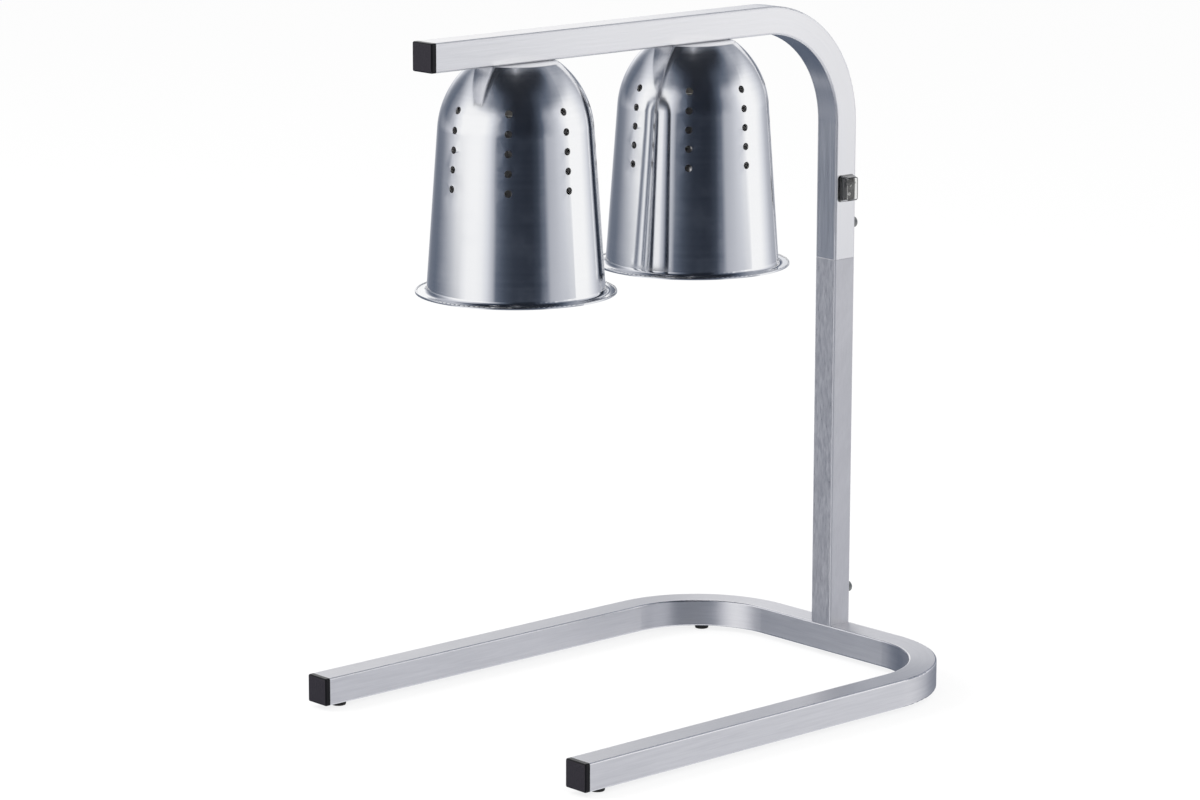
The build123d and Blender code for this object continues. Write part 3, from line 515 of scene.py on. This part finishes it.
metalLooks = {
    "clamp_steel": {"light": (0.40, 0.41, 0.40, 1), "dark": (0.26, 0.265, 0.26, 1),
                    "fineness": 2000.0, "roughness": (0.32, 0.46), "bump": 0.15},
    "zinc_plate": {"light": (0.68, 0.69, 0.71, 1), "dark": (0.52, 0.54, 0.57, 1),
                   "fineness": 1400.0, "roughness": (0.25, 0.42), "bump": 0.12},
    "rivet_aluminium": {"light": (0.82, 0.82, 0.83, 1), "dark": (0.70, 0.70, 0.72, 1),
                        "fineness": 1600.0, "roughness": (0.28, 0.44), "bump": 0.12},
    "contact_brass": {"light": (0.80, 0.60, 0.30, 1), "dark": (0.62, 0.44, 0.20, 1),
                      "fineness": 1500.0, "roughness": (0.22, 0.42), "bump": 0.10},
    "lamp_cap": {"light": (0.78, 0.77, 0.74, 1), "dark": (0.62, 0.61, 0.58, 1),
                 "fineness": 1500.0, "roughness": (0.22, 0.40), "bump": 0.12},
    "filament_wire": {"light": (0.36, 0.35, 0.34, 1), "dark": (0.24, 0.23, 0.23, 1),
                      "fineness": 3500.0, "roughness": (0.40, 0.60), "bump": 0.40},
    "mirror_coat": {"light": (0.74, 0.74, 0.76, 1), "dark": (0.62, 0.62, 0.65, 1),
                    "fineness": 300.0, "roughness": (0.04, 0.10), "bump": 0.02},
}

glassFinish = {
    "light": (0.98, 0.975, 0.96, 1.0), "dark": (0.95, 0.95, 0.94, 1.0), "fineness": 1300.0,
    "clear": 0.04, "frost": 0.46, "grain": 0.05, "bump": 0.12, "depth": 0.0002, "ior": 1.5,
    "lensTop": 0.4265, "fade": 0.006,  # the frosted face, and how it runs out above
}


def bulbGlass(look):
    material, tree, shader, place = startMaterial("bulb_glass")
    mould = useGroup(tree, mouldGrain, {"Place": place, "Fineness": look["fineness"]})
    height = splitVector(tree, place)["Z"]
    lens = remap(tree, height, look["lensTop"] + look["fade"], look["lensTop"], 0.0, 1.0, "SMOOTHSTEP")
    rough = remap(tree, lens, 0.0, 1.0, look["clear"], look["frost"])
    setInputs(tree, shader, {
        "Base Color": mixColour(tree, mould["Cloud"], look["light"], look["dark"]),
        "Roughness": addShare(tree, rough, mould["Grain"], look["grain"]),
        "IOR": look["ior"], "Transmission Weight": 1.0,
        "Normal": bump(tree, mould["Grain"], look["bump"], look["depth"]),
    })
    return material


bootFinish = {
    "light": (0.97, 0.97, 0.965, 1.0), "dark": (0.93, 0.935, 0.93, 1.0), "fineness": 900.0,
    "roughness": (0.015, 0.045), "ior": 1.42,
}


def clearBoot(look):
    material, tree, shader, place = startMaterial("clear_boot")
    mould = useGroup(tree, mouldGrain, {"Place": place, "Fineness": look["fineness"]})
    setInputs(tree, shader, {
        "Base Color": mixColour(tree, mould["Cloud"], look["dark"], look["light"]),
        "Roughness": remap(tree, mould["Grain"], *grainSpread, *look["roughness"]),
        "IOR": look["ior"], "Transmission Weight": 1.0,
    })
    return material


finishes = {name: mouldedPlastic(name, look) for name, look in plasticLooks.items()}
finishes.update({name: castMetal(name, look) for name, look in metalLooks.items()})
tubeBends = {  # two axes of the bend and the one across it, the bend's centre and radius
    "base_tube": (("width", "y", "z"), (0.0785, 0.13985, 0.0175), 0.0925),
    "arm_tube": (("y", "z", "x"), (0.13235, 0.4985, 0.0), 0.1),
    "post_tube": (("y", "z", "x"), (0.13235, 0.4985, 0.0), 0.1),  # strokes line up with the arm's
}
for name, look in tubeFinishes.items():
    finishes[name] = brushedTube(name, *tubeBends[name], look)
shadeAxes = {"front": (0.0, -0.15365), "rear": (0.0, 0.05235)}
shadeTop = 0.586
for end, axis in shadeAxes.items():
    finishes["shade_" + end] = spunShade("shade_" + end, axis, shadeTop, shadeFinish)
finishes["bulb_glass"] = bulbGlass(glassFinish)
finishes["clear_boot"] = clearBoot(bootFinish)

nodeFinish = {  # start of the node's name and its finish
    "base_frame": "base_tube", "base_spigot": "post_tube", "lower_post": "post_tube",
    "post_spigot": "post_tube", "upper_arm": "arm_tube",
    "base_end_cap": "cap_plastic", "arm_end_cap": "cap_plastic", "cord_bushing": "cap_plastic",
    "foot_screws": "zinc_plate", "spigot_bolts": "zinc_plate", "lampholder_screws": "zinc_plate",
    "nut_plate": "zinc_plate", "terminal_block_screw": "zinc_plate", "foot_": "foot_rubber",
    "spigot_rivets": "rivet_aluminium",
    "lower_clamp": "clamp_steel", "upper_clamp": "clamp_steel",
    "shade_front": "shade_front", "shade_rear": "shade_rear",
    "lampholder": "glazed_ceramic", "socket_shell": "contact_brass", "centre_contact": "contact_brass",
    "switch_blades": "contact_brass", "wire_bushes": "wire_braid", "lamp_wires": "wire_braid",
    "switch_wires": "wire_braid", "bulb_glass": "bulb_glass", "bulb_cap": "lamp_cap",
    "bulb_tip": "tip_glass", "filament": "filament_wire", "switch_body": "switch_plastic",
    "switch_rocker": "switch_plastic", "switch_boot": "clear_boot", "terminal_block": "block_nylon",
}


def dressNodes(look):
    for name, node in nodes.items():
        starts = [start for start in look if name.startswith(start)]
        finish = look[max(starts, key=len)]
        node.data.materials.clear()
        node.data.materials.append(finishes[finish])


dressNodes(nodeFinish)
print("materials given to", len(nodes), "nodes")

# pieces
sharpAngle = math.radians(32)
mergeDistance = 1e-6
cornerSegments = 6


def makePiece(name, bm, body, slot, finish, *replaced):
    mesh = bpy.data.meshes.new(name)
    bm.to_mesh(mesh)
    bm.free()
    mesh.materials.append(finishes[finish])
    mesh.shade_smooth()
    mesh.set_sharp_from_angle(angle=sharpAngle)
    piece = bpy.data.objects.new(name, mesh)
    scene.collection.objects.link(piece)
    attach(piece, body)
    if replaced:
        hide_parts(*replaced)


def spinOutline(bm, points, rounded, steps):
    # half outline in x and z, corners eased by a bevel, then turned about z
    verts = [bm.verts.new((x, 0.0, z)) for x, z in points]
    for first, second in zip(verts, verts[1:]):
        bm.edges.new((first, second))
    for index, offset in rounded:
        bmesh.ops.bevel(bm, geom=[verts[index]], offset=offset, offset_type="OFFSET",
                        segments=cornerSegments, profile=0.5, affect="VERTICES", material=-1)
    geom = list(bm.verts) + list(bm.edges)
    bmesh.ops.spin(bm, geom=geom, cent=(0, 0, 0), axis=(0, 0, 1), dvec=(0, 0, 0), angle=math.tau,
                   steps=steps, use_merge=True)
    bmesh.ops.remove_doubles(bm, verts=bm.verts, dist=mergeDistance)
    bmesh.ops.recalc_face_normals(bm, faces=bm.faces)


def aim(way, at):
    turn = Vector((0, 0, 1)).rotation_difference(Vector(way))
    return Matrix.Translation(at) @ turn.to_matrix().to_4x4()


# screws with a cross recess, head up the local z axis
footScrews = {
    "head": 0.0038, "height": 0.0022, "shank": 0.0020, "length": 0.0095, "dome": 0.6, "steps": 40,
    "cross": (0.0042, 0.0009, 0.0012), "way": (0, 0, -1),
    "at": ((0.171, -0.21465, 0.003), (-0.171, -0.21465, 0.003), (0.14391, 0.20526, 0.003),
           (-0.14391, 0.20526, 0.003)),
}
blockScrew = {
    "head": 0.0030, "height": 0.0020, "shank": 0.0015, "length": 0.0075, "dome": 0.6, "steps": 40,
    "cross": (0.0034, 0.0008, 0.0010), "way": (-1, 0, 0), "at": ((-0.0125, 0.23235, 0.4825),),
}


def crossScrew(look):
    bm = bmesh.new()
    head, height, shank, length = (look[key] for key in ("head", "height", "shank", "length"))
    outline = ((0, height), (head, height), (head, 0), (shank, 0), (shank, -length), (0, -length))
    spinOutline(bm, outline, ((1, height * look["dome"]),), look["steps"])
    blank = bpy.data.meshes.new("screw_blank")
    bm.to_mesh(blank)
    bm.free()
    long, wide, deep = look["cross"]
    tool = bmesh.new()
    for size in ((long, wide, 2 * deep), (wide, long, 2 * deep)):
        made = bmesh.ops.create_cube(tool, size=1.0)["verts"]
        bmesh.ops.scale(tool, verts=made, vec=size)
        bmesh.ops.translate(tool, verts=made, vec=(0, 0, height))
    cross = bpy.data.meshes.new("screw_cross")
    tool.to_mesh(cross)
    tool.free()
    screw = bpy.data.objects.new("screw_blank", blank)
    cutter = bpy.data.objects.new("screw_cross", cross)
    scene.collection.objects.link(screw)
    scene.collection.objects.link(cutter)
    cut = screw.modifiers.new("cross", "BOOLEAN")
    cut.object = cutter
    cut.operation = "DIFFERENCE"
    cut.solver = "EXACT"
    cut.use_self = True
    ready = screw.evaluated_get(bpy.context.evaluated_depsgraph_get())
    cutMesh = bpy.data.meshes.new_from_object(ready)
    bpy.data.objects.remove(screw)
    bpy.data.objects.remove(cutter)
    bm = bmesh.new()
    for spot in look["at"]:
        single = bmesh.new()
        single.from_mesh(cutMesh)
        bmesh.ops.transform(single, matrix=aim(look["way"], spot), verts=single.verts)
        placed = bpy.data.meshes.new("screw_placed")
        single.to_mesh(placed)
        single.free()
        bm.from_mesh(placed)
        bpy.data.meshes.remove(placed)
    bpy.data.meshes.remove(cutMesh)
    return bm


makePiece("foot_screw_heads", crossScrew(footScrews), "base", "zinc_steel", "zinc_plate", "foot_screws")
makePiece("block_screw_head", crossScrew(blockScrew), "arm", "zinc_steel", "zinc_plate",
          "terminal_block_screw")
print("cross-recess screws made")

# pop rivets, with the hole that the broken mandrel leaves
popRivets = {
    "head": 0.0040, "height": 0.0012, "shank": 0.0020, "hole": 0.0011, "floor": 0.0003,
    "grip": 0.0032, "tail": (0.0030, 0.0030), "back": 0.24485, "levels": (0.3595, 0.3355),
    "dome": 0.8, "steps": 40,
}


def rivets(look):
    bm = bmesh.new()
    head, height, shank, hole, floor = (look[key] for key in ("head", "height", "shank", "hole", "floor"))
    tail, tailLength = look["tail"]
    grip = -look["grip"]
    outline = ((0, floor), (hole, floor), (hole, height), (head, height), (head, 0), (shank, 0),
               (shank, grip), (tail, grip), (tail, grip - tailLength), (0, grip - tailLength))
    spinOutline(bm, outline, ((3, height * look["dome"]),), look["steps"])
    blank = list(bm.verts) + list(bm.edges) + list(bm.faces)
    second = bmesh.ops.duplicate(bm, geom=blank)["geom"]
    first = [item for item in blank if isinstance(item, bmesh.types.BMVert)]
    copied = [item for item in second if isinstance(item, bmesh.types.BMVert)]
    for verts, level in zip((first, copied), look["levels"]):
        bmesh.ops.transform(bm, matrix=aim((0, 1, 0), (0.0, look["back"], level)), verts=verts)
    return bm


makePiece("pop_rivets", rivets(popRivets), "post", "rivet_aluminium", "rivet_aluminium", "spigot_rivets")
print("pop rivets made")

# mirror coat inside the bulbs, from the neck down to the widest part
mirrorCoat = {
    "outline": ((0.0160, -0.031), (0.0160, -0.0532), (0.0610, -0.1180), (0.0610, -0.1350)),
    "eased": ((1, 0.0129), (2, 0.0168)), "thickness": 0.00015, "tip": 0.5679, "steps": 96,
}


def bulbMirror(look, axis):
    bm = bmesh.new()
    spinOutline(bm, look["outline"], look["eased"], look["steps"])
    bmesh.ops.solidify(bm, geom=list(bm.faces), thickness=look["thickness"])
    bmesh.ops.translate(bm, verts=bm.verts, vec=(*axis, look["tip"]))
    return bm


for end, axis in shadeAxes.items():
    makePiece("bulb_mirror_" + end, bulbMirror(mirrorCoat, axis), "bulb_" + end, "lamp_glass",
              "mirror_coat")
print("bulb mirrors made")

# rocker with eased edges, and its two marks
rockerLook = {
    "merge": 2e-6, "flat": 2.0, "sharp": 20.0, "longEdge": 0.004,  # degrees, and metres
    "ease": 0.00035, "segments": 3, "ringSides": 40, "pivot": (0.0125, 0.23235, 0.4385),
    "ring": (0.00125, 0.00085), "bar": (0.0005, 0.0025), "paint": 0.00006,
    "lower": (0.004157, -0.00487, 0.0), "upper": (0.005779, 0.002759, 24.0),  # out, up, and lean in degrees
}


def easedRocker(look):
    bm = bmesh.new()
    bm.from_mesh(nodes["switch_rocker"].data)
    bmesh.ops.remove_doubles(bm, verts=bm.verts, dist=look["merge"])
    bmesh.ops.dissolve_limit(bm, angle_limit=math.radians(look["flat"]), verts=bm.verts, edges=bm.edges)
    sharp = [edge for edge in bm.edges if edge.calc_face_angle(0.0) > math.radians(look["sharp"])]
    outer = [edge for edge in sharp if edge.calc_length() > look["longEdge"]]  # the pivot pins stay crisp
    bmesh.ops.bevel(bm, geom=outer, offset=look["ease"], offset_type="OFFSET", segments=look["segments"],
                    profile=0.5, affect="EDGES", material=-1, clamp_overlap=True)
    bmesh.ops.recalc_face_normals(bm, faces=bm.faces)
    return bm


def onRocker(look, place):
    out, up, lean = look[place]
    x, y, z = look["pivot"]
    turn = Matrix.Rotation(math.radians(90 + lean), 4, "Y")
    return Matrix.Translation((x + out, y, z + up)) @ turn


def offMark(look):
    bm = bmesh.new()
    for radius in look["ring"]:
        bmesh.ops.create_circle(bm, cap_ends=False, segments=look["ringSides"], radius=radius)
    bmesh.ops.bridge_loops(bm, edges=bm.edges)
    bmesh.ops.recalc_face_normals(bm, faces=bm.faces)
    return raiseMark(bm, look, "lower")


def onMark(look):
    bm = bmesh.new()
    bmesh.ops.create_grid(bm, x_segments=1, y_segments=1, size=0.5)
    wide, tall = look["bar"]
    bmesh.ops.scale(bm, vec=(tall, wide, 1.0), verts=bm.verts)
    return raiseMark(bm, look, "upper")


def raiseMark(bm, look, place):
    grown = bmesh.ops.extrude_face_region(bm, geom=list(bm.faces))["geom"]
    top = [item for item in grown if isinstance(item, bmesh.types.BMVert)]
    bmesh.ops.translate(bm, verts=top, vec=(0, 0, look["paint"]))
    bmesh.ops.recalc_face_normals(bm, faces=bm.faces)
    bmesh.ops.transform(bm, matrix=onRocker(look, place), verts=bm.verts)
    return bm


makePiece("rocker_eased", easedRocker(rockerLook), "rocker", "switch_black", "switch_plastic",
          "switch_rocker")
makePiece("rocker_off_mark", offMark(rockerLook), "rocker", "block_white", "mark_paint")
makePiece("rocker_on_mark", onMark(rockerLook), "rocker", "block_white", "mark_paint")
print("rocker and its marks made")
